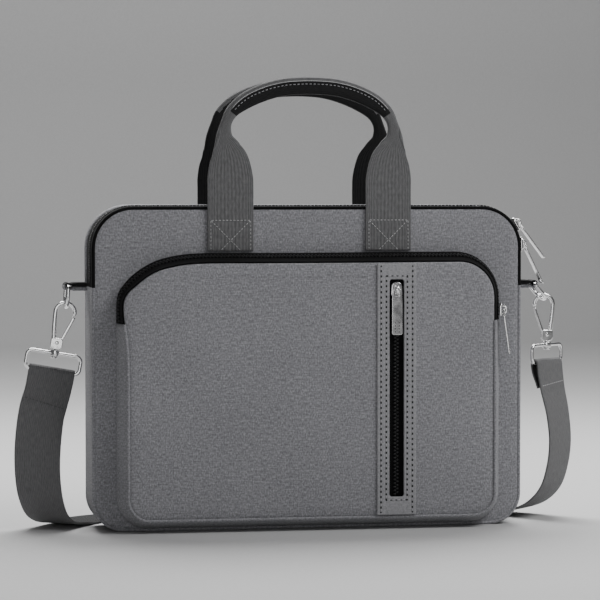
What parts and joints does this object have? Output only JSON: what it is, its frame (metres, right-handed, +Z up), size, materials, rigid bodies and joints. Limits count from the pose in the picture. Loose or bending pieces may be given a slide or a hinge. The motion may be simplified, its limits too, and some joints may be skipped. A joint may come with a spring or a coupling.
{
  "type": "messenger bag",
  "caption": "Padded laptop messenger bag with zipped body and front pocket, upright slit zip in a trim strip, webbing handles, snap hooks and a detachable shoulder strap.",
  "frame": {"origin": "middle of the flat bottom of the bag, on the surface it stands on", "axes": "+X to the right seen from the front, along the longest side; -Y out of the front; +Z up"},
  "size_m": [0.4769, 0.1523, 0.3717],
  "materials": {
    "cloth": "woven melange polyester",
    "webbing": "ribbed webbing",
    "zip_tape": "woven tape",
    "zip_coil": "satin nylon",
    "leather_trim": "smooth coated leather",
    "metal": "polished nickel plate",
    "padding": "open foam",
    "lining": "plain lining",
    "board": "matt board"
  },
  "bodies": {
    "root": {"body_front_panel": "cloth", "front_foam_pad": "padding", "front_lining": "lining", "front_piping": "metal", "body_back_panel": "cloth", "back_foam_pad": "padding", "back_lining": "lining", "back_piping": "metal", "side_bottom_gusset": "cloth", "top_gusset_strip": "cloth", "main_zip_tape_front": "zip_tape", "main_zip_tape_rear": "zip_tape", "main_zip_coil": "zip_coil", "base_board": "board", "laptop_divider": "lining", "pocket_gusset": "cloth", "pocket_zip_tape_outer": "zip_tape", "pocket_zip_tape_inner": "zip_tape", "pocket_zip_coil": "zip_coil", "pocket_piping": "metal", "pocket_front_panel": "cloth", "trim_strip": "leather_trim", "slit_zip_tape_left": "zip_tape", "slit_zip_tape_right": "zip_tape", "slit_zip_coil": "zip_coil", "slit_pocket_bag": "lining", "front_handle_end_left": "webbing", "front_handle_end_right": "webbing", "rear_handle_end_left": "webbing", "rear_handle_end_right": "webbing", "left_ring_tab": "cloth", "right_ring_tab": "cloth", "shoulder_strap": "webbing"},
    "front_handle": {"front_handle_loop": "webbing"},
    "rear_handle": {"rear_handle_loop": "webbing"},
    "upper_slider": {"upper_slider": "metal"},
    "upper_puller": {"upper_puller": "metal"},
    "lower_slider": {"lower_slider": "metal"},
    "lower_puller": {"lower_puller": "metal"},
    "pocket_slider": {"pocket_slider": "metal"},
    "pocket_puller": {"pocket_puller": "metal"},
    "slit_slider": {"slit_slider": "metal"},
    "slit_puller": {"slit_puller": "metal"},
    "left_swing": {"left_d_ring": "metal", "left_strap_ring": "metal"},
    "left_hook": {"left_hook_frame": "metal", "left_gate_pin": "metal", "left_swivel_pin": "metal"},
    "left_gate": {"left_hook_gate": "metal"},
    "right_swing": {"right_d_ring": "metal", "right_strap_ring": "metal"},
    "right_hook": {"right_hook_frame": "metal", "right_gate_pin": "metal", "right_swivel_pin": "metal"},
    "right_gate": {"right_hook_gate": "metal"},
    "adjuster": {"strap_adjuster": "metal", "strap_doubled_layer": "webbing"}
  },
  "joints": [
    {"name": "front_handle_fold", "type": "hinge", "parent": "root", "child": "front_handle", "pos_m": [0, -0.0298, 0.26625], "axis": [1, 0, 0], "range_deg": [-11, 100]},
    {"name": "rear_handle_fold", "type": "hinge", "parent": "root", "child": "rear_handle", "pos_m": [0, 0.0298, 0.26625], "axis": [-1, 0, 0], "range_deg": [-11, 100]},
    {"name": "upper_slider_run", "type": "hinge", "parent": "root", "child": "upper_slider", "pos_m": [0.146, -0.0142, 0.232], "axis": [0, -1, 0], "range_deg": [0, 58]},
    {"name": "upper_puller_lift", "type": "hinge", "parent": "upper_slider", "child": "upper_puller", "pos_m": [0.18032, -0.0142, 0.25182], "axis": [0, -1, 0], "range_deg": [-5, 150]},
    {"name": "lower_slider_run", "type": "slide", "parent": "root", "child": "lower_slider", "axis": [0, 0, -1], "range_m": [0, 0.022]},
    {"name": "lower_puller_lift", "type": "hinge", "parent": "lower_slider", "child": "lower_puller", "pos_m": [0.1851, -0.0142, 0.234], "axis": [0, -1, 0], "range_deg": [-20, 22]},
    {"name": "pocket_slider_run", "type": "slide", "parent": "root", "child": "pocket_slider", "axis": [0, 0, 1], "range_m": [0, 0.011]},
    {"name": "pocket_puller_lift", "type": "hinge", "parent": "pocket_slider", "child": "pocket_puller", "pos_m": [0.16225, -0.03865, 0.18], "axis": [-0.3624, -0.932, 0], "range_deg": [-6, 150]},
    {"name": "slit_slider_run", "type": "slide", "parent": "root", "child": "slit_slider", "axis": [0, 0, -1], "range_m": [0, 0.163]},
    {"name": "slit_puller_lift", "type": "hinge", "parent": "slit_slider", "child": "slit_puller", "pos_m": [0.069, -0.0509, 0.1975], "axis": [-1, 0, 0], "range_deg": [0, 150]},
    {"name": "left_ring_swing", "type": "hinge", "parent": "root", "child": "left_swing", "pos_m": [-0.197, 0.0045, 0.2], "axis": [0, 1, 0], "range_deg": [-3, 35], "deforming": ["shoulder_strap"]},
    {"name": "left_hook_swivel", "type": "hinge", "parent": "left_swing", "child": "left_hook", "pos_m": [-0.20678, 0.0045, 0.14814], "axis": [0.1736, 0, 0.9848], "range_deg": [-18, 18]},
    {"name": "left_gate_spring", "type": "hinge", "parent": "left_hook", "child": "left_gate", "pos_m": [-0.20268, 0.0045, 0.15412], "axis": [0, -1, 0], "range_deg": [0, 20], "stiffness_Nm_per_rad": 0.02, "springref_deg": -17.19},
    {"name": "right_ring_swing", "type": "hinge", "parent": "root", "child": "right_swing", "pos_m": [0.197, 0.0045, 0.2], "axis": [0, -1, 0], "range_deg": [-8, 25], "deforming": ["shoulder_strap"]},
    {"name": "right_hook_swivel", "type": "hinge", "parent": "right_swing", "child": "right_hook", "pos_m": [0.21063, 0.0045, 0.15108], "axis": [0, 0, 1], "range_deg": [-18, 18]},
    {"name": "right_gate_spring", "type": "hinge", "parent": "right_hook", "child": "right_gate", "pos_m": [0.20763, 0.0045, 0.15768], "axis": [0, 1, 0], "range_deg": [0, 20], "stiffness_Nm_per_rad": 0.02, "springref_deg": -17.19},
    {"name": "adjuster_slide", "type": "slide", "parent": "root", "child": "adjuster", "axis": [1, 0, 0], "range_m": [-0.02, 0.05]}
  ]
}
